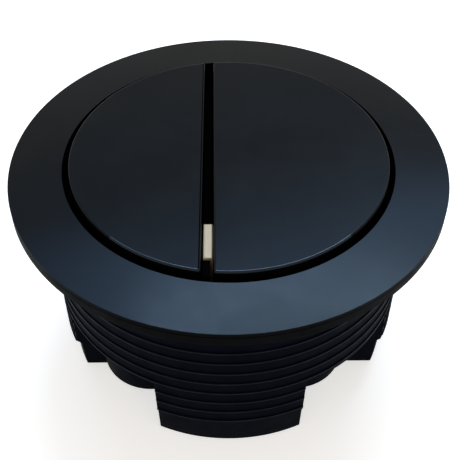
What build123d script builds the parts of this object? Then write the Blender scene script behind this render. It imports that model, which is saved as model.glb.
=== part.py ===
# Push button cistern actuator: a round dual-flush button that screws into a cistern lid.
# Millimetres. The origin is the centre of the flange's underside, where the lid sits, with +Z up.
# Front is -Y: the half-flush button is on the left (-X), the full-flush button on the right (+X).
from build123d import *

import os
from math import radians, sqrt, tan

# Threaded body: plain neck, run-out relief, thread, pilot band and four legs
thread_d = 58.0
thread_pitch = 2.5
thread_depth = 0.75
thread_root_width = 1.1
thread_flank = 30.0
neck_height = 5.0
relief_height = 1.75
neck_wall = 2.0
skirt_depth = 34.4
skirt_wall = 2.05
pilot_height = 5.9
pilot_step = 0.1
pilot_taper = 0.3
leg_height = 13.7
front_leg_width = 22.9
side_leg_width = 25.0
leg_draft = 1.0
leg_web_height = 12.0
leg_web_thick = 1.6
throat_step = 0.5
deck_bead = 0.3
deck_bead_arc = 24.0

# Bezel: the flange that covers the hole in the lid, and the collar that clips into the threaded body
flange_overhang = 5.0
rim_height = 1.4
rim_round = 0.5
crown_rise = 0.7
hole_round = 0.3
collar_wall = 1.15
collar_depth = 4.8
neck_seat_depth = 0.4
snap_bead = 0.35
snap_height = 1.0

# Buttons: two D-shaped caps with a straight slot between them
button_gap = 1.05
button_proud = 0.87
slot_x = -3.3
slot_width = 1.6
cap_height = 4.95
cap_plate = 1.6
cap_wall = 1.3
cap_round = 0.35
corner_round = 0.6
travel = 6.0
stop_gap = 0.4

# Carriers: the plate under each cap, its guide shoe, the stem with its barb, and the push-rod socket
rod_spacing = 24.2
rod_offset = -1.1
rod_socket_d = 5.1
rod_socket_depth = 14.0
carrier_inset = 0.2
carrier_plate = 1.8
shoe_depth = 11.2
shoe_wall = 1.2
stem_d = 8.0
stem_slit = 1.4
stem_slit_depth = 6.0
barb = 0.5
barb_land = 0.5
barb_height = 2.0
peg_d = 3.2
peg_spread = 17.0
peg_socket_wall = 1.2

# Return springs, one round each stem
wire_d = 0.8
spring_turns = 6.0
wire_sides = 8

# Guide deck with the slot's rib, and two obround sleeves under it with a floor part way down
sleeve_wall = 1.4
sleeve_lift = 2.0
floor_thick = 1.6
deck_thick = 1.6
rib_inset = 3.25
rib_drop = 3.0
nose_inset = 0.9
nose_drop = 0.2

# Gap insert: the pale tab near the front end of the slot
insert_inset = 4.55
insert_length = 6.8
insert_drop = 1.0
insert_round = 0.25
tenon_length = 4.4
tenon_reach = 0.8

# Clearances
contact_gap = 0.02
fit_gap = 0.1
seat_gap = 0.2
insert_gap = 0.25
slide_gap = 0.3
coil_gap = 0.5
sleeve_gap = 0.5
peg_gap = 0.55

# Radii that follow, from the thread inwards
thread_r = thread_d / 2
flange_r = thread_r + flange_overhang
root_r = thread_r - thread_depth
pilot_r = root_r - pilot_step
bore_r = root_r - skirt_wall
deck_r = bore_r - seat_gap
socket_r = thread_r - neck_wall
collar_r = socket_r - fit_gap
hole_r = collar_r - collar_wall
throat_r = hole_r - throat_step
button_r = hole_r - button_gap
carrier_r = button_r - carrier_inset

# Widths that follow, from the stem outwards
stem_r = stem_d / 2
spring_d = stem_d + 2 * (coil_gap + wire_d)
shoe_bore = spring_d + 2 * seat_gap
shoe_width = shoe_bore + 2 * shoe_wall
sleeve_bore = shoe_width + 2 * slide_gap
sleeve_width = sleeve_bore + 2 * sleeve_wall
rib_thick = slot_width - 2 * slide_gap
insert_thick = slot_width - 2 * insert_gap

# Rod axes, and how far apart a sleeve's round ends can lie inside the body
half_x = rod_offset - rod_spacing / 2
full_x = rod_offset + rod_spacing / 2
sleeve_reach = bore_r - sleeve_gap - sleeve_width / 2
sleeve_spread = 2 * sqrt(sleeve_reach**2 - max(abs(half_x), abs(full_x)) ** 2)

# Heights that follow, from the top down
crown_z = rim_height + crown_rise
button_z = crown_z + button_proud
cap_z = button_z - cap_height
plate_z = cap_z - carrier_plate
deck_z = plate_z - travel - stop_gap
deck_under_z = deck_z - deck_thick
shoe_z = plate_z - shoe_depth
floor_z = shoe_z - travel - stop_gap
floor_under_z = floor_z - floor_thick
barb_z = floor_under_z - fit_gap
stem_z = barb_z - barb_height
pilot_z = pilot_height - skirt_depth
sleeve_z = sleeve_lift - skirt_depth
insert_z = button_z - insert_drop
insert_front = insert_inset - hole_r

# Straight edge of each cap, at the slot
half_edge_x = slot_x - slot_width / 2
full_edge_x = slot_x + slot_width / 2


def write(part, name):
    part.label = name
    export_step(part, f"parts/{name}.step")


def d_outline(radius, edge_x, side):
    """A disc cut straight at edge_x, in the open sketch; side is -1 to keep the left of it, 1 the right."""
    Circle(radius)
    with Locations((edge_x - side * radius, 0)):
        Rectangle(2 * radius, 3 * radius, mode=Mode.SUBTRACT)


def obround(width, mode=Mode.ADD):
    """The sleeve's rounded-end outline, lying front to back, in the open sketch."""
    SlotCenterToCenter(sleeve_spread, width, rotation=90, mode=mode)


os.makedirs("parts", exist_ok=True)

# Bezel: one revolved section, with a bead round the collar that snaps into the body's groove
bead_z = snap_height - collar_depth
with BuildPart() as bezel:
    with BuildSketch(Plane.XZ) as bezel_section:
        with BuildLine():
            Polyline(
                (hole_r, -collar_depth),
                (hole_r, crown_z),
                (flange_r, rim_height),
                (flange_r, 0),
                (thread_r + fit_gap, 0),
                (thread_r + fit_gap, neck_seat_depth),
                (collar_r, neck_seat_depth),
                (collar_r, bead_z + snap_bead),
                (collar_r + snap_bead, bead_z),
                (collar_r, bead_z - snap_bead),
                (collar_r, -collar_depth),
                close=True,
            )
        make_face()
        corners = bezel_section.vertices()
        fillet(corners.group_by(Axis.X)[-1], rim_round)
        fillet(corners.group_by(Axis.Y)[-1], hole_round)
    revolve(axis=Axis.Z)
write(bezel.part, "bezel")

# Threaded body: revolved wall, helical groove, webs from the side legs' edges in towards the sleeves,
# the notches that leave four legs, and the deck's snap beads
groove_rise = thread_depth + fit_gap
groove_spread = 2 * groove_rise * tan(radians(thread_flank))
groove_z = pilot_z - thread_pitch / 2
groove_top_z = -neck_height - relief_height / 2
with BuildPart() as threaded_body:
    with BuildSketch(Plane.XZ):
        with BuildLine():
            Polyline(
                (socket_r, neck_seat_depth),
                (thread_r - neck_seat_depth, neck_seat_depth),
                (thread_r, 0),
                (thread_r, -neck_height),
                (pilot_r, -neck_height),
                (pilot_r, -neck_height - relief_height),
                (thread_r, -neck_height - relief_height),
                (thread_r, pilot_z + thread_depth),
                (pilot_r, pilot_z),
                (pilot_r - pilot_taper, -skirt_depth),
                (bore_r, -skirt_depth),
                (bore_r, deck_z),
                (throat_r, deck_z),
                (throat_r, -collar_depth - fit_gap),
                (socket_r, -collar_depth - fit_gap),
                (socket_r, bead_z - snap_bead),
                (socket_r + snap_bead, bead_z),
                (socket_r, bead_z + snap_bead),
                close=True,
            )
        make_face()
    revolve(axis=Axis.Z)
    with BuildLine():
        groove = Helix(thread_pitch, groove_top_z - groove_z, root_r, center=(0, 0, groove_z))
    with BuildSketch(Plane(groove @ 0, x_dir=(1, 0, 0), z_dir=groove % 0)):
        with Locations((groove_rise / 2, 0)):
            Trapezoid(
                thread_root_width + groove_spread, groove_rise, 90 - thread_flank, rotation=90
            )
    sweep(path=groove, is_frenet=True, mode=Mode.SUBTRACT)
    web_x = sqrt(bore_r**2 - (side_leg_width / 2) ** 2) + skirt_wall / 2
    web_clear = sleeve_width / 2 + sleeve_gap
    with BuildSketch(Plane.XY.offset(-skirt_depth)):
        for outer_x, inner_x in ((-web_x, half_x - web_clear), (web_x, full_x + web_clear)):
            with Locations(((outer_x + inner_x) / 2, 0)):
                with GridLocations(0, side_leg_width, 1, 2):
                    Rectangle(abs(outer_x - inner_x), 2 * leg_web_thick)
    extrude(amount=leg_web_height)
    notch_x = flange_r - front_leg_width / 2
    notch_y = flange_r - side_leg_width / 2
    with BuildSketch(Plane.XY.offset(-skirt_depth)):
        with GridLocations(front_leg_width + notch_x, side_leg_width + notch_y, 2, 2):
            Rectangle(notch_x, notch_y)
    extrude(amount=leg_height, taper=leg_draft, mode=Mode.SUBTRACT)
    for turn in range(4):
        with BuildSketch(Plane.XZ.rotated((0, 0, 90 * turn - deck_bead_arc / 2))):
            with BuildLine():
                Polyline(
                    (bore_r, deck_under_z - contact_gap),
                    (bore_r - seat_gap - deck_bead, deck_under_z - contact_gap - deck_bead),
                    (bore_r, deck_under_z - contact_gap - 3 * deck_bead),
                    close=True,
                )
            make_face()
        revolve(axis=Axis.Z, revolution_arc=deck_bead_arc)
write(threaded_body.part, "threaded_body")

# Guide deck: a disc under the body's ledge, open over the sleeves, with the slot's rib on top.
# The rib stands in two lengths, a short nose in front of the insert and a long one behind it.
rib_lengths = (
    (nose_inset - throat_r, insert_front - seat_gap, insert_z - nose_drop),
    (insert_front + insert_length + seat_gap, throat_r - rib_inset, crown_z - rib_drop),
)
with BuildPart() as guide_deck:
    with BuildSketch(Plane.XY.offset(deck_under_z)):
        Circle(deck_r)
        with Locations((half_x, 0), (full_x, 0)):
            obround(sleeve_bore, mode=Mode.SUBTRACT)
        with Locations((slot_x, insert_front + insert_length / 2)):
            Rectangle(
                insert_thick + 2 * contact_gap, tenon_length + 2 * contact_gap, mode=Mode.SUBTRACT
            )
    extrude(amount=deck_thick)
    for rib_front, rib_back, rib_z in rib_lengths:
        with BuildSketch(Plane.XY.offset(deck_z)):
            with Locations((slot_x, (rib_front + rib_back) / 2)):
                Rectangle(rib_thick, rib_back - rib_front)
        extrude(amount=rib_z - deck_z)
write(guide_deck.part, "guide_deck")

# Gap insert: a flat tab whose tenon plugs into the deck
with BuildPart() as gap_insert:
    insert_mid = insert_front + insert_length / 2
    with BuildSketch(Plane.YZ.offset(slot_x - insert_thick / 2)) as insert_side:
        with Locations((insert_mid, (insert_z + deck_z) / 2)):
            Rectangle(insert_length, insert_z - deck_z)
        fillet(insert_side.vertices().group_by(Axis.Z)[-1], insert_round)
        tenon_height = deck_thick + tenon_reach
        with Locations((insert_mid, deck_z - tenon_height / 2)):
            Rectangle(tenon_length, tenon_height)
    extrude(amount=insert_thick)
write(gap_insert.part, "gap_insert")


def make_cap(centre_x, edge_x, side):
    """A hollow D-shaped button cap, with two sockets under it for the carrier's pegs."""
    with BuildPart() as cap:
        with BuildSketch(Plane.XY.offset(cap_z)) as outline:
            d_outline(button_r, edge_x, side)
            fillet(outline.vertices(), corner_round)
        extrude(amount=cap_height)
        fillet(cap.faces().sort_by(Axis.Z)[-1].edges(), cap_round)
        with BuildSketch(Plane.XY.offset(cap_z)):
            d_outline(button_r - cap_wall, edge_x + side * cap_wall, side)
        extrude(amount=cap_height - cap_plate, mode=Mode.SUBTRACT)
        with BuildSketch(Plane.XY.offset(cap_z)):
            with Locations((centre_x, 0)):
                with GridLocations(0, peg_spread, 1, 2):
                    Circle(peg_d / 2 + fit_gap + peg_socket_wall)
                    Circle(peg_d / 2 + fit_gap, mode=Mode.SUBTRACT)
        extrude(amount=cap_height - cap_plate)
    return cap.part


def make_carrier(centre_x, edge_x, side):
    """The plate that closes a cap, with its pegs, guide shoe, barbed stem and push-rod socket."""
    with BuildPart() as carrier:
        with BuildSketch(Plane.XY.offset(plate_z)) as outline:
            d_outline(carrier_r, edge_x + side * carrier_inset, side)
            fillet(outline.vertices(), corner_round)
        extrude(amount=carrier_plate)
        with BuildSketch(Plane.XY.offset(cap_z)):
            with Locations((centre_x, 0)):
                with GridLocations(0, peg_spread, 1, 2):
                    Circle(peg_d / 2)
        extrude(amount=cap_height - cap_plate - peg_gap)
        with BuildSketch(Plane.XY.offset(plate_z)):
            with Locations((centre_x, 0)):
                obround(shoe_width)
                obround(shoe_bore, mode=Mode.SUBTRACT)
        extrude(amount=-shoe_depth)
        with BuildSketch(Plane.XZ) as stem_section:
            with BuildLine():
                Polyline(
                    (centre_x, plate_z),
                    (centre_x + stem_r, plate_z),
                    (centre_x + stem_r, barb_z),
                    (centre_x + stem_r + barb, barb_z),
                    (centre_x + stem_r + barb, barb_z - barb_land),
                    (centre_x + stem_r, stem_z),
                    (centre_x, stem_z),
                    close=True,
                )
            make_face()
        revolve(axis=Axis((centre_x, 0, 0), (0, 0, 1)))
        with BuildSketch(Plane.XY.offset(stem_z)):
            with Locations((centre_x, 0)):
                Circle(rod_socket_d / 2)
        extrude(amount=rod_socket_depth, mode=Mode.SUBTRACT)
        with BuildSketch(Plane.XY.offset(stem_z)):
            with Locations((centre_x, 0)):
                Rectangle(2 * stem_d, stem_slit)
        extrude(amount=stem_slit_depth, mode=Mode.SUBTRACT)
    return carrier.part


def make_sleeve(centre_x):
    """The tube that a carrier's shoe slides in, hung under the deck, with a floor for the spring."""
    with BuildPart() as sleeve:
        with BuildSketch(Plane.XY.offset(sleeve_z)):
            with Locations((centre_x, 0)):
                obround(sleeve_width)
                obround(sleeve_bore, mode=Mode.SUBTRACT)
        extrude(amount=deck_under_z - sleeve_z)
        with BuildSketch(Plane.XY.offset(floor_under_z)):
            with Locations((centre_x, 0)):
                obround(sleeve_bore)
                Circle(stem_r + slide_gap, mode=Mode.SUBTRACT)
        extrude(amount=floor_thick)
    return sleeve.part


def make_spring(centre_x):
    """A coil spring round the stem, from the sleeve's floor up to the carrier's plate."""
    coil_r = (spring_d - wire_d) / 2
    low_z = floor_z + wire_d / 2 + contact_gap
    high_z = plate_z - wire_d / 2 - contact_gap
    with BuildPart() as spring:
        with BuildLine():
            coil = Helix((high_z - low_z) / spring_turns, high_z - low_z, coil_r, center=(centre_x, 0, low_z))
        with BuildSketch(Plane(coil @ 0, x_dir=(1, 0, 0), z_dir=coil % 0)):
            RegularPolygon(wire_d / 2, wire_sides)
        sweep(path=coil, is_frenet=True)
    return spring.part


# The two buttons: cap, carrier, sleeve and spring each
for button, centre_x, edge_x, side in (
    ("half_flush", half_x, half_edge_x, -1),
    ("full_flush", full_x, full_edge_x, 1),
):
    write(make_cap(centre_x, edge_x, side), f"{button}_cap")
    write(make_carrier(centre_x, edge_x, side), f"{button}_carrier")
    write(make_sleeve(centre_x), f"{button}_sleeve")
    write(make_spring(centre_x), f"{button}_spring")
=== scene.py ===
import math

import bpy
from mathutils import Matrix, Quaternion, Vector


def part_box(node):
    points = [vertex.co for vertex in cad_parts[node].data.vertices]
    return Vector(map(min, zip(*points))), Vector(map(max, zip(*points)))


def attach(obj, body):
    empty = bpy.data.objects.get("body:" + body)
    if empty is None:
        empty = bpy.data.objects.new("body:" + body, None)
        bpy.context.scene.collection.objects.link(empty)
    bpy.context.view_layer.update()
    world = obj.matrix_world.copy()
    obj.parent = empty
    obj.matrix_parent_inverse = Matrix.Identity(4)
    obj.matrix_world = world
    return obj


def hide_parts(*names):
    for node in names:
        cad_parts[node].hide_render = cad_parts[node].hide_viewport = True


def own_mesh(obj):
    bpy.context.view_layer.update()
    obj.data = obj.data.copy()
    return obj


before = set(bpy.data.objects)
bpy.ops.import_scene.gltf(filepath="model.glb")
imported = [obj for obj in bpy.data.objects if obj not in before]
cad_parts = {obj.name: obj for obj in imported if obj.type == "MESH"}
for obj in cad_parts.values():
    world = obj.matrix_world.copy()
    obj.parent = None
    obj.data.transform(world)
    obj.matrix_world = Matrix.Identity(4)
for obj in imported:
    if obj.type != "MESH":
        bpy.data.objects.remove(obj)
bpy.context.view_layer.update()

MM = 0.001
BUTTONS = ("half", "full")

# How closely places and directions are told apart
FINE = 0.02 * MM
CLOSE = FINE / 10
FACING = 0.9
LEVEL = 0.999

# Bezel
FIT_GAP = 0.1 * MM
BUTTON_GAP = 1.05 * MM
RIM_HEIGHT = 1.4 * MM
RIM_EDGE = 0.05 * MM
LIP_HEIGHT = 0.65 * MM
SEAM_HEIGHT = 0.15 * MM
SEAM_DEPTH = 0.3 * MM
BAND_DROP = 0.9 * MM
BAND_ROUND = 0.12 * MM
CROWN_RISE = 0.7 * MM
HOLE_ROUND = 0.06 * MM
COLLAR_WALL = 1.15 * MM
SNAP_BEAD = 0.35 * MM
SNAP_HEIGHT = 1.0 * MM

# Threaded body
NECK_HEIGHT = 5.0 * MM
RELIEF_HEIGHT = 1.75 * MM
THREAD_PITCH = 2.5 * MM
THREAD_DEPTH = 0.75 * MM
THREAD_SHIFT = 0.65 * MM
THREAD_FLANK = math.radians(30)
GROOVE_DEPTH = 0.22 * MM
GROOVE_ROOT = 1.95 * MM
CREST_ROUND = 0.12 * MM
# How far in from the thread's outer radius a face still takes the crests' painted highlight
CREST_SKIN = 0.06 * MM
ROOT_ROUND = 0.18 * MM
PILOT_HEIGHT = 5.9 * MM
PILOT_STEP = 0.1 * MM
PILOT_TAPER = 0.3 * MM
SKIRT_WALL = 2.05 * MM
SKIRT_ROUND = 0.2 * MM
THROAT_STEP = 0.5 * MM
LEG_HEIGHT = 13.7 * MM
LEG_DRAFT = math.radians(1)
NOTCH_DROP = LEG_HEIGHT / 4
FRONT_LEG_WIDTH = 22.9 * MM
SIDE_LEG_WIDTH = 25.0 * MM
LEG_WEB_HEIGHT = 12.0 * MM
LEG_WEB_THICK = 1.6 * MM
LEG_WEB_SINK = 0.2 * MM

# Buttons
CAP_PLATE = 1.6 * MM
CAP_WALL = 1.3 * MM
CAP_ROUND = 0.3 * MM
CAP_CORNER = 0.36 * MM
CAP_PLAY = 0.14 * MM
CAP_TURN = math.radians(0.21)

# Deck, sleeves and springs
DECK_THICK = 1.6 * MM
SLEEVE_WALL = 1.4 * MM
SLEEVE_ROUND = 0.3 * MM
SLEEVE_FLOOR_THICK = 1.6 * MM
SLEEVE_FLOOR_DROP = 9.6 * MM
STEM_HOLE_R = 4.3 * MM
WIRE_R = 0.4 * MM
SPRING_TURNS = 6

# Insert
INSERT_ROUND = 0.25 * MM
INSERT_LEFT = 0.07 * MM
INSERT_RIGHT = 0.3 * MM
TENON_LENGTH = 4.4 * MM

# Steps round curves and edges, and shading
RING_STEPS = 192
SLEEVE_STEPS = 24
COIL_STEPS = 48
WIRE_STEPS = 12
CREST_STEPS = 3
SHOWN_STEPS = 5
ROUND_STEPS = 4
PLAIN_STEPS = 3
HIDDEN_STEPS = 2
SMOOTH_ANGLE = math.radians(40)
FLAT_WEIGHT = 90

# Sizes that follow the frame
flange_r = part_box("bezel")[1].x
collar_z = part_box("bezel")[0].z
thread_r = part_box("threaded_body")[1].x
neck_top_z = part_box("threaded_body")[1].z
skirt_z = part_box("threaded_body")[0].z
button_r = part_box("full_flush_cap")[1].x
button_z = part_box("full_flush_cap")[1].z
cap_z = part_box("full_flush_cap")[0].z
half_edge_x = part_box("half_flush_cap")[1].x
full_edge_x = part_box("full_flush_cap")[0].x
deck_under_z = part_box("half_flush_sleeve")[1].z
deck_z = deck_under_z + DECK_THICK
hole_r = button_r + BUTTON_GAP
collar_r = hole_r + COLLAR_WALL
bead_z = collar_z + SNAP_HEIGHT

# Noise in the finishes
NOISE_LOW = 0.3
NOISE_HIGH = 0.7
GRAIN_DETAIL = 2.0
CLOUD_DETAIL = 3.0
GRAIN_STRENGTH = 0.4

# Satin black paint
PAINT_DARK = (0.005, 0.006, 0.007)
PAINT_LIGHT = (0.008, 0.009, 0.010)
PAINT_CLOUDS = 14 * MM
PAINT_GLOSS = 0.1
PAINT_ROUGHNESS = (0.21, 0.24)
PAINT_PATCHES = 3 * MM
PAINT_GRAIN = 0.22 * MM
PAINT_GRAIN_DEPTH = 0.006 * MM
PAINT_GRAIN_STRENGTH = 0.35
DUST = (0.25, 0.25, 0.25)
DUST_SPACING = 7 * MM
DUST_RADIUS = 0.11 * MM
DUST_SHARE = 0.1
# Glossier paint on the front of the caps' rounded top edges only: a painted highlight along their front
# edges
EDGE_HIGHLIGHT_GLOSS = 0.5
EDGE_SLOPE = 0.9995
EDGE_FRONT = 0.72
# Faces flatter than this slope count as walls, which take the darker, duller finish with painted shade
WALL_SLOPE = 0.02

# Black moulding. The bluish tint on its reflections, which it shares with the paint, is a painted
# reflection colour in place of bluish light
PAINTED_BLUE_REFLECTION_TINT = (0.55, 0.75, 1.0)
MOULDING_DARK = (0.0012, 0.0020, 0.0050)
MOULDING_LIGHT = (0.0020, 0.0031, 0.0075)
MOULDING_GLOSS = 0.013
MOULDING_CLOUDS = 9 * MM
MOULDING_ROUGHNESS = (0.48, 0.6)
MOULDING_PATCHES = 2 * MM
MOULDING_GRAIN = 0.3 * MM
MOULDING_GRAIN_DEPTH = 0.01 * MM
# Glossier moulding on the thread's crests only: painted highlight lines along the thread
CREST_HIGHLIGHT_GLOSS = 0.055
# Darker, duller upright and downward faces of the bezel and caps: in part the band's own matte moulding, in
# part painted shade where these walls would mirror the bright floor
MATTE_SHADED_WALL_DARK = (0.0012, 0.0012, 0.0013)
MATTE_SHADED_WALL_LIGHT = (0.0022, 0.0022, 0.0024)
MATTE_SHADED_WALL_GLOSS = 0.017
# Near-black, nearly glossless copy for the deck and carriers inside: painted shade deep in the housing
SHADED_INSIDE_DARK = (0.0005, 0.0005, 0.0006)
SHADED_INSIDE_LIGHT = (0.0008, 0.0008, 0.0009)
SHADED_INSIDE_GLOSS = 0.004

# Ivory moulding
IVORY_DARK = (0.61, 0.48, 0.31)
IVORY_LIGHT = (0.67, 0.54, 0.36)
IVORY_CLOUDS = 2.5 * MM
IVORY_ROUGHNESS = (0.42, 0.52)
IVORY_PATCHES = 1 * MM
IVORY_GRAIN = 0.25 * MM
IVORY_GRAIN_DEPTH = 0.008 * MM

# Spring steel
STEEL_DARK = (0.42, 0.42, 0.43)
STEEL_LIGHT = (0.58, 0.58, 0.59)
STEEL_CLOUDS = 1.5 * MM
STEEL_DETAIL = 4.0
STEEL_ROUGHNESS = (0.22, 0.36)
STEEL_PATCHES = 0.2 * MM
STEEL_GRAIN = 0.12 * MM
STEEL_GRAIN_DEPTH = 0.004 * MM

# Camera, where the photograph was taken from
CAMERA_SPOT = Vector((-1.12, -100.02, 87.78)) * MM
CAMERA_AIM = Vector((0.06, -13.80, 0.0)) * MM
CAMERA_ROLL = 0.003
CAMERA_LENS = 65.97
CAMERA_NEAR = 1 * MM
SENSOR_WIDTH = 36.0

# Floor and light
FLOOR_SIZE = 40.0
FLOOR_COLOUR = (0.9, 0.9, 0.9)
FLOOR_ROUGHNESS = 0.9
FLOOR_GLOSS = 0.0
FLOOR_LIFT = 0.6
LIFT_COLOUR = (1.0, 1.0, 1.0)
ROOM_COLOUR = (1.0, 0.9, 0.79)
ROOM_LEVEL = 0.36
ROOM_START = 0.75
HORIZON_LEVEL = 0.74
HORIZON_END = 0.30
SOFTBOX_SPOT = Vector((0.098, 0.326, 0.60))
SOFTBOX_TURN = math.radians(10)
SOFTBOX_WIDTH = 0.431
SOFTBOX_DEPTH = 0.086
SOFTBOX_LEVEL = 21.0
SOFTBOX_COLOUR = (0.777, 0.914, 1.0)
FILL_SPOT = Vector((0.131, 0.465, 0.62))
FILL_TURN = math.radians(18.7)
FILL_WIDTH = 0.937
FILL_DEPTH = 0.2315
FILL_LEVEL = 4.8
FILL_COLOUR = (0.454, 0.689, 1.0)


# Modelling steps

def clear_selection():
    """Leave edit mode and deselect everything."""
    if bpy.context.object and bpy.context.object.mode == "EDIT":
        bpy.ops.object.mode_set(mode="OBJECT")
    bpy.ops.object.select_all(action="DESELECT")


def hold(piece):
    """Select one piece alone and make it the active one."""
    clear_selection()
    piece.select_set(True)
    bpy.context.view_layer.objects.active = piece


def open_up(piece):
    """Open one piece for editing."""
    hold(piece)
    bpy.ops.object.mode_set(mode="EDIT")


def named(name):
    """Name the primitive that was just added, put its place into its mesh and open it for editing."""
    piece = bpy.context.object
    piece.name = name
    piece.data.name = name
    bpy.ops.object.transform_apply(location=True, rotation=True, scale=True)
    bpy.ops.object.mode_set(mode="EDIT")
    bpy.ops.mesh.select_mode(type="VERT")
    bpy.ops.mesh.select_all(action="SELECT")
    return piece


def add_block(name, middle, size):
    """A block, open for editing."""
    clear_selection()
    bpy.ops.mesh.primitive_cube_add(size=1, location=middle, scale=size)
    return named(name)


def pick(piece, kind, test):
    """In edit mode, select only the vertices, edges or faces that pass a test."""
    bpy.ops.mesh.select_mode(type=kind)
    bpy.ops.mesh.select_all(action="DESELECT")
    bpy.ops.object.mode_set(mode="OBJECT")
    mesh = piece.data
    if kind == "VERT":
        for vertex in mesh.vertices:
            vertex.select = test(vertex.co)
    elif kind == "EDGE":
        for edge in mesh.edges:
            start, end = (mesh.vertices[i].co for i in edge.vertices)
            edge.select = test(start, end)
    else:
        for face in mesh.polygons:
            face.select = test(face.center, face.normal)
    bpy.ops.object.mode_set(mode="EDIT")


def upright(start, end):
    """Whether an edge stands upright."""
    return (start - end).to_2d().length < FINE


def draw_out(x, y, z):
    """Extrude what is selected."""
    bpy.ops.mesh.extrude_region_move(TRANSFORM_OT_translate={"value": (x, y, z)})


def round_edges(size, steps):
    """Round the selected edges."""
    bpy.ops.mesh.bevel(offset=size, segments=steps, affect="EDGES")


def round_rings(piece, size, steps, *corners):
    """Round the rings of edges that lie at these (radius, height) corners."""
    def on_corner(point, radius, height):
        return abs(point.to_2d().length - radius) < FINE and abs(point.z - height) < FINE

    pick(piece, "EDGE", lambda start, end: any(
        on_corner(start, *corner) and on_corner(end, *corner) for corner in corners
    ))
    round_edges(size, steps)


def close_up(piece):
    """Merge doubles, turn the faces outwards, the highest one up, and leave edit mode."""
    bpy.ops.mesh.select_all(action="SELECT")
    bpy.ops.mesh.remove_doubles(threshold=CLOSE)
    bpy.ops.mesh.normals_make_consistent(inside=False)
    bpy.ops.object.mode_set(mode="OBJECT")
    highest = max(piece.data.polygons, key=lambda face: face.center.z)
    if highest.normal.z < 0:
        bpy.ops.object.mode_set(mode="EDIT")
        bpy.ops.mesh.flip_normals()
        bpy.ops.object.mode_set(mode="OBJECT")


def turn_ring(name, section):
    """A ring turned about Z: a circle pulled from corner to corner of its section, back to the first."""
    clear_selection()
    radius, height = section[0]
    bpy.ops.mesh.primitive_circle_add(vertices=RING_STEPS, radius=radius, location=(0, 0, height))
    piece = named(name)
    for next_radius, next_height in section[1:] + section[:1]:
        draw_out(0, 0, next_height - height)
        grow = next_radius / radius
        bpy.ops.transform.resize(value=(grow, grow, 1), center_override=(0, 0, next_height))
        radius, height = next_radius, next_height
    close_up(piece)
    return piece


def apply_modifier(piece, kind, **settings):
    """Add a modifier with these settings and apply it."""
    hold(piece)
    modifier = piece.modifiers.new(kind.lower(), kind)
    for key, value in settings.items():
        setattr(modifier, key, value)
    bpy.ops.object.modifier_apply(modifier=modifier.name)


def wind_up(piece, turns, rise, turn_steps):
    """Wind a flat outline up round Z, close its two ends and leave it open for editing."""
    steps = round(turns * turn_steps)
    apply_modifier(
        piece, "SCREW", axis="Z", angle=turns * math.tau, screw_offset=rise,
        steps=steps, render_steps=steps, use_merge_vertices=False,
    )
    open_up(piece)
    bpy.ops.mesh.select_all(action="SELECT")
    bpy.ops.mesh.fill_holes(sides=0)


def cut(piece, cutter, operation="DIFFERENCE"):
    """Take a cutter's shape out of a piece, or add it with UNION, and remove the cutter."""
    apply_modifier(piece, "BOOLEAN", operation=operation, object=cutter, solver="EXACT")
    bpy.data.objects.remove(cutter)


def smooth(piece):
    """Smooth shading that keeps the corners and the flats crisp."""
    hold(piece)
    bpy.ops.object.shade_smooth_by_angle(angle=SMOOTH_ANGLE)
    apply_modifier(piece, "WEIGHTED_NORMAL", keep_sharp=True, weight=FLAT_WEIGHT)


# The pieces

def make_bezel():
    """Flange with a shallow conical top and a seam round its rim, and the collar with its snap bead."""
    recess_r = thread_r + FIT_GAP
    seam_r = flange_r - SEAM_DEPTH
    crown_z = RIM_HEIGHT + CROWN_RISE
    lip_z = RIM_HEIGHT - LIP_HEIGHT
    bezel = turn_ring("bezel_ring", [
        (hole_r, collar_z),
        (hole_r, crown_z),
        (flange_r, RIM_HEIGHT),
        (flange_r, lip_z),
        (seam_r, lip_z),
        (seam_r, lip_z - SEAM_HEIGHT),
        (flange_r, lip_z - SEAM_HEIGHT),
        (flange_r, -BAND_DROP),
        (recess_r, -BAND_DROP),
        (recess_r, neck_top_z),
        (collar_r, neck_top_z),
        (collar_r, bead_z + SNAP_BEAD),
        (collar_r + SNAP_BEAD, bead_z),
        (collar_r, bead_z - SNAP_BEAD),
        (collar_r, collar_z),
    ])
    open_up(bezel)
    round_rings(bezel, RIM_EDGE, ROUND_STEPS, (flange_r, RIM_HEIGHT))
    round_rings(bezel, BAND_ROUND, PLAIN_STEPS, (flange_r, -BAND_DROP))
    round_rings(bezel, HOLE_ROUND, SHOWN_STEPS, (hole_r, crown_z))
    round_rings(bezel, FIT_GAP, HIDDEN_STEPS, (collar_r, collar_z), (hole_r, collar_z))
    close_up(bezel)
    return bezel


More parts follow.
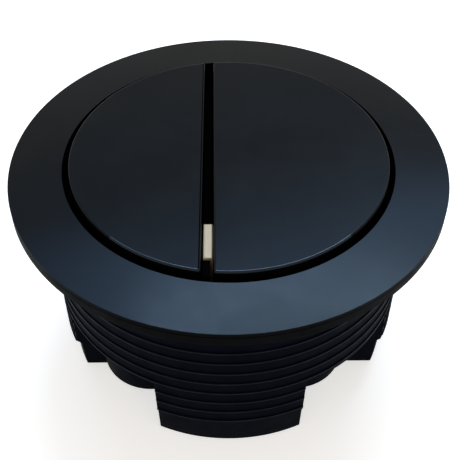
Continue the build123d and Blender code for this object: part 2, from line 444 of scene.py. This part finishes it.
def make_cap(name, edge_x, side, play):
    """A hollow D-shaped button cap: a disc cut straight at the slot, drawn down, hollowed from below and
    rounded. It sits a little turned and shifted, as a loose button does."""
    clear_selection()
    bpy.ops.mesh.primitive_circle_add(
        vertices=RING_STEPS, radius=button_r, fill_type="NGON", location=(0, 0, button_z)
    )
    cap = named(name)
    bpy.ops.mesh.bisect(
        plane_co=(edge_x, 0, 0), plane_no=(side, 0, 0), clear_inner=True, threshold=FINE
    )
    pick(cap, "VERT", lambda p: FINE < abs(p.x - edge_x) < 2 * CAP_CORNER)
    bpy.ops.mesh.dissolve_verts()
    bpy.ops.mesh.select_all(action="SELECT")
    draw_out(0, 0, cap_z - button_z)
    bpy.ops.mesh.select_all(action="SELECT")
    bpy.ops.mesh.normals_make_consistent(inside=False)
    pick(cap, "FACE", lambda centre, normal: normal.z < -FACING)
    bpy.ops.mesh.inset(thickness=CAP_WALL, use_even_offset=True)
    draw_out(0, 0, button_z - CAP_PLATE - cap_z)
    pick(cap, "EDGE", lambda start, end: upright(start, end) and abs(start.x - edge_x) < FINE)
    round_edges(CAP_CORNER, ROUND_STEPS)
    pick(cap, "EDGE", lambda start, end: min(start.z, end.z) > button_z - FINE)
    round_edges(CAP_ROUND, SHOWN_STEPS)
    pick(cap, "FACE", lambda centre, normal: normal.z > LEVEL)
    bpy.ops.mesh.inset(thickness=FINE)
    bpy.ops.mesh.select_all(action="SELECT")
    bpy.ops.transform.rotate(value=-side * CAP_TURN, orient_axis="Z", center_override=(0, 0, 0))
    bpy.ops.transform.translate(value=(play, 0, 0))
    close_up(cap)
    return cap


def make_thread_cutter(low_z, high_z):
    """The groove between two ridges: a trapezoid that rounds the crests beside it, wound up the skirt."""
    root_r = thread_r - GROOVE_DEPTH
    flank_depth = GROOVE_DEPTH - CREST_ROUND
    middle_r = root_r + flank_depth / 2
    clear_selection()
    bpy.ops.mesh.primitive_plane_add(size=1, location=(middle_r, 0, low_z), rotation=(math.pi / 2, 0, 0))
    groove = named("thread_groove")
    bpy.ops.transform.resize(value=(flank_depth, 1, GROOVE_ROOT), center_override=(middle_r, 0, low_z))
    width = GROOVE_ROOT

    def widen(flare):
        nonlocal width
        grow = (width + 2 * flare) / width
        bpy.ops.transform.resize(value=(1, 1, grow), center_override=(0, 0, low_z))
        width += 2 * flare

    pick(groove, "EDGE", lambda start, end: min(start.x, end.x) > middle_r)
    widen(flank_depth * math.tan(THREAD_FLANK))
    for step in range(CREST_STEPS):
        before = math.pi / 2 * step / CREST_STEPS
        after = math.pi / 2 * (step + 1) / CREST_STEPS
        draw_out(CREST_ROUND * (math.sin(after) - math.sin(before)), 0, 0)
        widen(CREST_ROUND * (math.cos(before) - math.cos(after)))
    draw_out(CREST_ROUND, 0, 0)
    pick(groove, "VERT", lambda p: p.x < root_r + FINE)
    bpy.ops.mesh.bevel(offset=ROOT_ROUND, segments=PLAIN_STEPS, affect="VERTICES")
    bpy.ops.mesh.select_mode(type="FACE")
    bpy.ops.mesh.select_all(action="SELECT")
    bpy.ops.mesh.dissolve_faces()
    bpy.ops.mesh.delete(type="ONLY_FACE")
    bpy.ops.object.mode_set(mode="OBJECT")
    wind_up(groove, (high_z - low_z) / THREAD_PITCH, high_z - low_z, RING_STEPS)
    close_up(groove)
    return groove


def make_leg_web(inner_x, outer_x, side_y):
    """The block of a side leg's web, from inside the wall to the sleeve. The notch cuts half of it away."""
    web = add_block(
        "leg_web",
        ((inner_x + outer_x) / 2, side_y * SIDE_LEG_WIDTH / 2, skirt_z + LEG_WEB_HEIGHT / 2),
        (abs(outer_x - inner_x), 2 * LEG_WEB_THICK, LEG_WEB_HEIGHT),
    )
    close_up(web)
    return web


def make_notch(side_x, side_y):
    """The tapered block that is cut out of one corner of the skirt, between two legs."""
    draft = math.tan(LEG_DRAFT)
    inner_x = FRONT_LEG_WIDTH / 2 - NOTCH_DROP * draft
    inner_y = SIDE_LEG_WIDTH / 2 - NOTCH_DROP * draft
    low = Vector((inner_x, inner_y, skirt_z - NOTCH_DROP))
    high = Vector((flange_r, flange_r, skirt_z + LEG_HEIGHT))
    taper = (LEG_HEIGHT + NOTCH_DROP) * draft
    notch = add_block("corner_notch", (low + high) / 2, high - low)
    pick(notch, "VERT", lambda p: p.z > skirt_z and p.x < inner_x + FINE)
    bpy.ops.transform.translate(value=(taper, 0, 0))
    pick(notch, "VERT", lambda p: p.z > skirt_z and p.y < inner_y + FINE)
    bpy.ops.transform.translate(value=(0, taper, 0))
    bpy.ops.mesh.select_all(action="SELECT")
    bpy.ops.transform.resize(value=(side_x, side_y, 1), center_override=(0, 0, 0))
    close_up(notch)
    return notch


def make_threaded_body():
    """Skirt with its neck, relief, thread, pilot band and webs, notched at the corners into four legs."""
    root_r = thread_r - THREAD_DEPTH
    pilot_r = root_r - PILOT_STEP
    bore_r = root_r - SKIRT_WALL
    socket_r = collar_r + FIT_GAP
    throat_r = hole_r - THROAT_STEP
    pilot_z = skirt_z + PILOT_HEIGHT
    relief_z = -NECK_HEIGHT - RELIEF_HEIGHT
    body = turn_ring("threaded_skirt", [
        (socket_r, neck_top_z),
        (thread_r - neck_top_z, neck_top_z),
        (thread_r, 0),
        (thread_r, -NECK_HEIGHT),
        (pilot_r, -NECK_HEIGHT),
        (pilot_r, relief_z),
        (thread_r, relief_z),
        (thread_r, pilot_z + THREAD_DEPTH),
        (pilot_r, pilot_z),
        (pilot_r - PILOT_TAPER, skirt_z),
        (bore_r, skirt_z),
        (bore_r, deck_z),
        (throat_r, deck_z),
        (throat_r, collar_z - FIT_GAP),
        (socket_r, collar_z - FIT_GAP),
        (socket_r, bead_z - SNAP_BEAD),
        (socket_r + SNAP_BEAD, bead_z),
        (socket_r, bead_z + SNAP_BEAD),
    ])
    open_up(body)
    round_rings(body, SKIRT_ROUND, PLAIN_STEPS, (pilot_r - PILOT_TAPER, skirt_z), (bore_r, skirt_z))
    close_up(body)
    thread_low = pilot_z - THREAD_PITCH / 2 - THREAD_SHIFT
    thread_high = relief_z + RELIEF_HEIGHT / 2 - THREAD_SHIFT
    cut(body, make_thread_cutter(thread_low, thread_high))
    web_x = math.sqrt(bore_r**2 - (SIDE_LEG_WIDTH / 2) ** 2) + SKIRT_WALL / 2
    half_side_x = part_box("half_flush_sleeve")[0].x + LEG_WEB_SINK
    full_side_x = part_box("full_flush_sleeve")[1].x - LEG_WEB_SINK
    for side_y in (-1, 1):
        cut(body, make_leg_web(half_side_x, -web_x, side_y), "UNION")
        cut(body, make_leg_web(full_side_x, web_x, side_y), "UNION")
        for side_x in (-1, 1):
            cut(body, make_notch(side_x, side_y))
    return body


def make_sleeve(name, node):
    """A tube with round ends for a button's guide shoe, hollowed from both ends down to its floor."""
    low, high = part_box(node)
    floor_under_z = high.z - SLEEVE_FLOOR_DROP - SLEEVE_FLOOR_THICK
    sleeve = add_block(name, (low + high) / 2, high - low)
    pick(sleeve, "EDGE", upright)
    round_edges((high.x - low.x) / 2, SLEEVE_STEPS)
    bpy.ops.mesh.select_all(action="SELECT")
    bpy.ops.mesh.remove_doubles(threshold=FINE)
    for way, depth in ((1, SLEEVE_FLOOR_DROP), (-1, floor_under_z - low.z)):
        pick(sleeve, "FACE", lambda centre, normal: normal.z * way > FACING)
        bpy.ops.mesh.inset(thickness=SLEEVE_WALL)
        draw_out(0, 0, -way * depth)
    pick(sleeve, "EDGE", lambda start, end: max(start.z, end.z) < low.z + FINE)
    round_edges(SLEEVE_ROUND, PLAIN_STEPS)
    close_up(sleeve)
    bpy.ops.mesh.primitive_cylinder_add(
        vertices=SLEEVE_STEPS * 2, radius=STEM_HOLE_R, depth=2 * SLEEVE_FLOOR_THICK,
        location=((low.x + high.x) / 2, 0, floor_under_z + SLEEVE_FLOOR_THICK / 2),
    )
    cut(sleeve, bpy.context.object)
    return sleeve


def make_spring(name, node):
    """A coil spring: the wire's section wound up, with its ends closed, and set round the stem's axis."""
    low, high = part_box(node)
    coil_r = (high.x - low.x) / 2 - WIRE_R
    clear_selection()
    bpy.ops.mesh.primitive_circle_add(
        vertices=WIRE_STEPS, radius=WIRE_R, location=(coil_r, 0, low.z + WIRE_R),
        rotation=(math.pi / 2, 0, 0),
    )
    spring = named(name)
    bpy.ops.object.mode_set(mode="OBJECT")
    wind_up(spring, SPRING_TURNS, high.z - low.z - 2 * WIRE_R, COIL_STEPS)
    bpy.ops.mesh.select_all(action="SELECT")
    bpy.ops.transform.translate(value=((low.x + high.x) / 2, 0, 0))
    close_up(spring)
    return spring


def make_insert():
    """The pale tab in the slot: a thin block with rounded top edges, and a tenon drawn out below."""
    low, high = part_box("gap_insert")
    low.x += INSERT_LEFT
    high.x += INSERT_RIGHT
    middle_y = (low.y + high.y) / 2
    blade_low = Vector((low.x, low.y, deck_z))
    insert = add_block("slot_insert", (blade_low + high) / 2, high - blade_low)
    for side in (-1, 1):
        bpy.ops.mesh.select_all(action="SELECT")
        tenon_y = middle_y + side * TENON_LENGTH / 2
        bpy.ops.mesh.bisect(plane_co=(0, tenon_y, 0), plane_no=(0, 1, 0), threshold=CLOSE)
    pick(insert, "FACE", lambda centre, normal: normal.z < -FACING and abs(centre.y - middle_y) < FINE)
    draw_out(0, 0, low.z - deck_z)

    def on_top_outline(start, end):
        crosses = abs(start.y - end.y) < FINE and low.y + FINE < start.y < high.y - FINE
        return min(start.z, end.z) > high.z - FINE and not crosses

    pick(insert, "EDGE", on_top_outline)
    round_edges(INSERT_ROUND, ROUND_STEPS)
    close_up(insert)
    return insert


# The finishes

def new_material(name):
    """A material with its node tree and its shader."""
    material = bpy.data.materials.new(name)
    material.use_nodes = True
    return material, material.node_tree, material.node_tree.nodes["Principled BSDF"]


def add_math(tree, operation, first, second):
    """A maths node on a socket and a second socket or number."""
    maths = tree.nodes.new("ShaderNodeMath")
    maths.operation = operation
    tree.links.new(first, maths.inputs[0])
    if isinstance(second, bpy.types.NodeSocket):
        tree.links.new(second, maths.inputs[1])
    else:
        maths.inputs[1].default_value = second
    return maths.outputs["Value"]


def add_noise(tree, size, detail):
    """Noise on the piece's own coordinates, with features of about this size."""
    coordinates = tree.nodes.new("ShaderNodeTexCoord")
    noise = tree.nodes.new("ShaderNodeTexNoise")
    noise.inputs["Scale"].default_value = 1 / size
    noise.inputs["Detail"].default_value = detail
    tree.links.new(coordinates.outputs["Object"], noise.inputs["Vector"])
    return noise.outputs["Fac"]


def vary(tree, source, low, high):
    """Spread the middle of a noise over a range."""
    spread = tree.nodes.new("ShaderNodeMapRange")
    spread.inputs["From Min"].default_value = NOISE_LOW
    spread.inputs["From Max"].default_value = NOISE_HIGH
    spread.inputs["To Min"].default_value = low
    spread.inputs["To Max"].default_value = high
    tree.links.new(source, spread.inputs["Value"])
    return spread.outputs["Result"]


def blend_colours(tree, amount, first, second):
    """A colour that goes from the first to the second with the amount."""
    mix = tree.nodes.new("ShaderNodeMix")
    mix.data_type = "RGBA"
    tree.links.new(amount, mix.inputs["Factor"])
    for socket, colour in ((mix.inputs["A"], first), (mix.inputs["B"], second)):
        if isinstance(colour, bpy.types.NodeSocket):
            tree.links.new(colour, socket)
        else:
            socket.default_value = (*colour, 1)
    return mix.outputs["Result"]


def add_clouds(tree, size, detail, dark, light):
    """A colour that drifts between a dark and a light one in clouds of this size."""
    return blend_colours(tree, vary(tree, add_noise(tree, size, detail), 0, 1), dark, light)


def add_patches(tree, shader, size, roughness):
    """Roughness that varies within a range, in patches of this size."""
    patches = add_noise(tree, size, GRAIN_DETAIL)
    tree.links.new(vary(tree, patches, *roughness), shader.inputs["Roughness"])


def add_grain(tree, shader, size, depth, strength):
    """A fine grain that raises the surface by up to this depth."""
    bump = tree.nodes.new("ShaderNodeBump")
    bump.inputs["Distance"].default_value = depth
    bump.inputs["Strength"].default_value = strength
    tree.links.new(add_noise(tree, size, GRAIN_DETAIL), bump.inputs["Height"])
    tree.links.new(bump.outputs["Normal"], shader.inputs["Normal"])


def add_dust(tree):
    """A mask of a few round specks: the middles of some of the cells of a Voronoi pattern."""
    coordinates = tree.nodes.new("ShaderNodeTexCoord")
    cells = tree.nodes.new("ShaderNodeTexVoronoi")
    cells.inputs["Scale"].default_value = 1 / DUST_SPACING
    tree.links.new(coordinates.outputs["Object"], cells.inputs["Vector"])
    near = add_math(tree, "LESS_THAN", cells.outputs["Distance"], DUST_RADIUS / DUST_SPACING)
    chosen = add_math(tree, "LESS_THAN", cells.outputs["Color"], DUST_SHARE)
    return add_math(tree, "MULTIPLY", near, chosen)


def set_black_gloss(shader, gloss):
    """The level of the reflections on a black finish, and their bluish tint, painted in place of bluish
    light.
    """
    shader.inputs["Specular IOR Level"].default_value = gloss
    shader.inputs["Specular Tint"].default_value = (*PAINTED_BLUE_REFLECTION_TINT, 1)


def make_satin_paint(name, gloss):
    """Satin black paint on moulded plastic: faint clouds, a fine sprayed grain and a few specks of dust."""
    material, tree, shader = new_material(name)
    paint = add_clouds(tree, PAINT_CLOUDS, CLOUD_DETAIL, PAINT_DARK, PAINT_LIGHT)
    dusty = blend_colours(tree, add_dust(tree), paint, DUST)
    tree.links.new(dusty, shader.inputs["Base Color"])
    add_patches(tree, shader, PAINT_PATCHES, PAINT_ROUGHNESS)
    set_black_gloss(shader, gloss)
    add_grain(tree, shader, PAINT_GRAIN, PAINT_GRAIN_DEPTH, PAINT_GRAIN_STRENGTH)
    return material


def make_black_moulding(name, dark, light, gloss):
    """As-moulded black plastic: dull, with a fine grain and faint flow clouds."""
    material, tree, shader = new_material(name)
    clouds = add_clouds(tree, MOULDING_CLOUDS, CLOUD_DETAIL, dark, light)
    tree.links.new(clouds, shader.inputs["Base Color"])
    add_patches(tree, shader, MOULDING_PATCHES, MOULDING_ROUGHNESS)
    set_black_gloss(shader, gloss)
    add_grain(tree, shader, MOULDING_GRAIN, MOULDING_GRAIN_DEPTH, GRAIN_STRENGTH)
    return material


def make_ivory_moulding():
    """Plain ivory plastic, a little uneven."""
    material, tree, shader = new_material("ivory_moulding")
    clouds = add_clouds(tree, IVORY_CLOUDS, CLOUD_DETAIL, IVORY_DARK, IVORY_LIGHT)
    tree.links.new(clouds, shader.inputs["Base Color"])
    add_patches(tree, shader, IVORY_PATCHES, IVORY_ROUGHNESS)
    add_grain(tree, shader, IVORY_GRAIN, IVORY_GRAIN_DEPTH, GRAIN_STRENGTH)
    return material


def make_spring_steel():
    """Drawn stainless wire: fine grain and a little darkening."""
    material, tree, shader = new_material("spring_steel")
    clouds = add_clouds(tree, STEEL_CLOUDS, STEEL_DETAIL, STEEL_DARK, STEEL_LIGHT)
    tree.links.new(clouds, shader.inputs["Base Color"])
    shader.inputs["Metallic"].default_value = 1.0
    add_patches(tree, shader, STEEL_PATCHES, STEEL_ROUGHNESS)
    add_grain(tree, shader, STEEL_GRAIN, STEEL_GRAIN_DEPTH, GRAIN_STRENGTH)
    return material


def on_shaded_wall(centre, normal):
    """Whether a face stands upright or looks down. These faces take a darker, duller finish: partly the
    band's own matte moulding, partly painted shade.
    """
    return normal.z <= WALL_SLOPE


def on_highlight_edge(centre, normal):
    """Whether a face belongs to the front of a cap's rounded top edge, where glossier paint makes a painted
    highlight.
    """
    return WALL_SLOPE < normal.z < EDGE_SLOPE and normal.y < -EDGE_FRONT * normal.to_2d().length


def on_highlight_crest(centre, normal):
    """Whether a face of the skirt lies on the thread's crests, which get a glossier moulding as a painted
    highlight.
    """
    return centre.z < -NECK_HEIGHT and centre.to_2d().length > thread_r - CREST_SKIN


# Floor, light and camera

def make_floor():
    """A plain white floor under the legs, lifted a little towards white where it is seen."""
    clear_selection()
    bpy.ops.mesh.primitive_plane_add(size=FLOOR_SIZE, location=(0, 0, skirt_z))
    floor = bpy.context.object
    floor.name = "floor"
    material, tree, shader = new_material("white_floor")
    shader.inputs["Base Color"].default_value = (*FLOOR_COLOUR, 1)
    shader.inputs["Roughness"].default_value = FLOOR_ROUGHNESS
    shader.inputs["Specular IOR Level"].default_value = FLOOR_GLOSS
    shader.inputs["Emission Color"].default_value = (*LIFT_COLOUR, 1)
    rays = tree.nodes.new("ShaderNodeLightPath")
    seen = rays.outputs["Is Camera Ray"]
    for kind in ("Is Glossy Ray", "Is Transmission Ray"):
        seen = add_math(tree, "MAXIMUM", seen, rays.outputs[kind])
    lift = add_math(tree, "MULTIPLY", seen, FLOOR_LIFT)
    tree.links.new(lift, shader.inputs["Emission Strength"])
    floor.data.materials.append(material)


def make_world():
    """Soft, slightly warm light from all round, stronger towards the horizon."""
    world = bpy.data.worlds.new("studio")
    bpy.context.scene.world = world
    world.use_nodes = True
    tree = world.node_tree
    room = tree.nodes["Background"]
    room.inputs["Color"].default_value = (*ROOM_COLOUR, 1)
    coordinates = tree.nodes.new("ShaderNodeTexCoord")
    parts = tree.nodes.new("ShaderNodeSeparateXYZ")
    tree.links.new(coordinates.outputs["Generated"], parts.inputs["Vector"])
    fall = tree.nodes.new("ShaderNodeMapRange")
    fall.inputs["From Min"].default_value = HORIZON_END
    fall.inputs["From Max"].default_value = ROOM_START
    fall.inputs["To Min"].default_value = HORIZON_LEVEL
    fall.inputs["To Max"].default_value = ROOM_LEVEL
    tree.links.new(parts.outputs["Z"], fall.inputs["Value"])
    tree.links.new(fall.outputs["Result"], room.inputs["Strength"])


def make_panel(name, spot, turn, width, depth, level, colour):
    """A soft light overhead that faces straight down, with this level as its brightness."""
    data = bpy.data.lights.new(name, "AREA")
    data.shape = "RECTANGLE"
    data.size = width
    data.size_y = depth
    data.energy = level * width * depth * math.pi
    data.color = colour
    panel = bpy.data.objects.new(name, data)
    panel.location = spot
    panel.rotation_euler = (0, 0, turn)
    bpy.context.scene.collection.objects.link(panel)


def make_camera():
    """The camera of the photograph."""
    data = bpy.data.cameras.new("photo_camera")
    data.sensor_width = SENSOR_WIDTH
    data.lens = CAMERA_LENS
    data.clip_start = CAMERA_NEAR
    camera = bpy.data.objects.new("photo_camera", data)
    camera.location = CAMERA_SPOT
    turn = (CAMERA_AIM - CAMERA_SPOT).to_track_quat("-Z", "Y") @ Quaternion((0, 0, 1), CAMERA_ROLL)
    camera.rotation_euler = turn.to_euler()
    bpy.context.scene.collection.objects.link(camera)
    bpy.context.scene.camera = camera


# Putting it together

def put(piece, body, finish, node):
    """Give a new piece its finish and its body, in the place of a node of the frame."""
    piece.data.materials.clear()
    piece.data.materials.append(finish)
    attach(piece, body)
    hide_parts(node)


def refinish(piece, finish, test):
    """Give the faces whose centre and normal pass a test another finish."""
    piece.data.materials.append(finish)
    for face in piece.data.polygons:
        if test(face.center, face.normal):
            face.material_index = len(piece.data.materials) - 1


finishes = {
    "satin_black_paint": make_satin_paint("satin_black_paint", PAINT_GLOSS),
    "black_moulding": make_black_moulding(
        "black_moulding", MOULDING_DARK, MOULDING_LIGHT, MOULDING_GLOSS
    ),
    "ivory_moulding": make_ivory_moulding(),
    "spring_steel": make_spring_steel(),
}
# Glossier copy of the paint, for the painted highlight on the caps' front edges
front_edge_highlight_paint = make_satin_paint("front_edge_highlight_paint", EDGE_HIGHLIGHT_GLOSS)
# Darker, duller copy for the walls: matte moulding with painted shade
matte_shaded_wall_moulding = make_black_moulding("matte_shaded_wall_moulding", MATTE_SHADED_WALL_DARK, MATTE_SHADED_WALL_LIGHT, MATTE_SHADED_WALL_GLOSS)
# Glossier copy of the moulding, for the painted highlight on the thread's crests
crest_highlight_moulding = make_black_moulding("crest_highlight_moulding", MOULDING_DARK, MOULDING_LIGHT, CREST_HIGHLIGHT_GLOSS)
# Darker copy of the moulding: painted shade for the parts deep inside
shaded_inside_moulding = make_black_moulding("shaded_inside_moulding", SHADED_INSIDE_DARK, SHADED_INSIDE_LIGHT, SHADED_INSIDE_GLOSS)

half_cap = make_cap("half_flush_button", half_edge_x + CAP_PLAY, -1, 0)
full_cap = make_cap("full_flush_button", full_edge_x, 1, CAP_PLAY)
bezel_ring = make_bezel()
threaded_skirt = make_threaded_body()
new_pieces = [
    (bezel_ring, "housing", "satin_black_paint", "bezel"),
    (threaded_skirt, "housing", "black_moulding", "threaded_body"),
    (make_insert(), "housing", "ivory_moulding", "gap_insert"),
    (half_cap, "half_button", "satin_black_paint", "half_flush_cap"),
    (full_cap, "full_button", "satin_black_paint", "full_flush_cap"),
]
for button in BUTTONS:
    sleeve = make_sleeve(f"{button}_flush_guide", f"{button}_flush_sleeve")
    new_pieces.append((sleeve, "housing", "black_moulding", f"{button}_flush_sleeve"))
    spring = make_spring(f"{button}_flush_coil", f"{button}_flush_spring")
    new_pieces.append((spring, "housing", "spring_steel", f"{button}_flush_spring"))
for piece, body, slot, node in new_pieces:
    smooth(piece)
    put(piece, body, finishes[slot], node)
for button in BUTTONS:
    coil = bpy.data.objects[f"{button}_flush_coil"]
    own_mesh(coil)

# Painted highlight: glossier paint on the front of the caps' top edges
for cap in (half_cap, full_cap):
    refinish(cap, front_edge_highlight_paint, on_highlight_edge)
# Painted shade together with the band's matte: a darker, duller finish on upright and downward faces
for piece in (bezel_ring, half_cap, full_cap):
    refinish(piece, matte_shaded_wall_moulding, on_shaded_wall)
# Painted highlight: glossier moulding on the thread's crests
refinish(threaded_skirt, crest_highlight_moulding, on_highlight_crest)
# Painted shade: the deck and carriers inside get the near-black, glossless copy
for node in ("guide_deck", "half_flush_carrier", "full_flush_carrier"):
    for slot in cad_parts[node].material_slots:
        slot.material = shaded_inside_moulding

make_floor()
make_world()
make_panel(
    "overhead_softbox", SOFTBOX_SPOT, SOFTBOX_TURN, SOFTBOX_WIDTH, SOFTBOX_DEPTH,
    SOFTBOX_LEVEL, SOFTBOX_COLOUR,
)
make_panel("sky_fill", FILL_SPOT, FILL_TURN, FILL_WIDTH, FILL_DEPTH, FILL_LEVEL, FILL_COLOUR)
make_camera()
bpy.context.scene.view_settings.view_transform = "Standard"
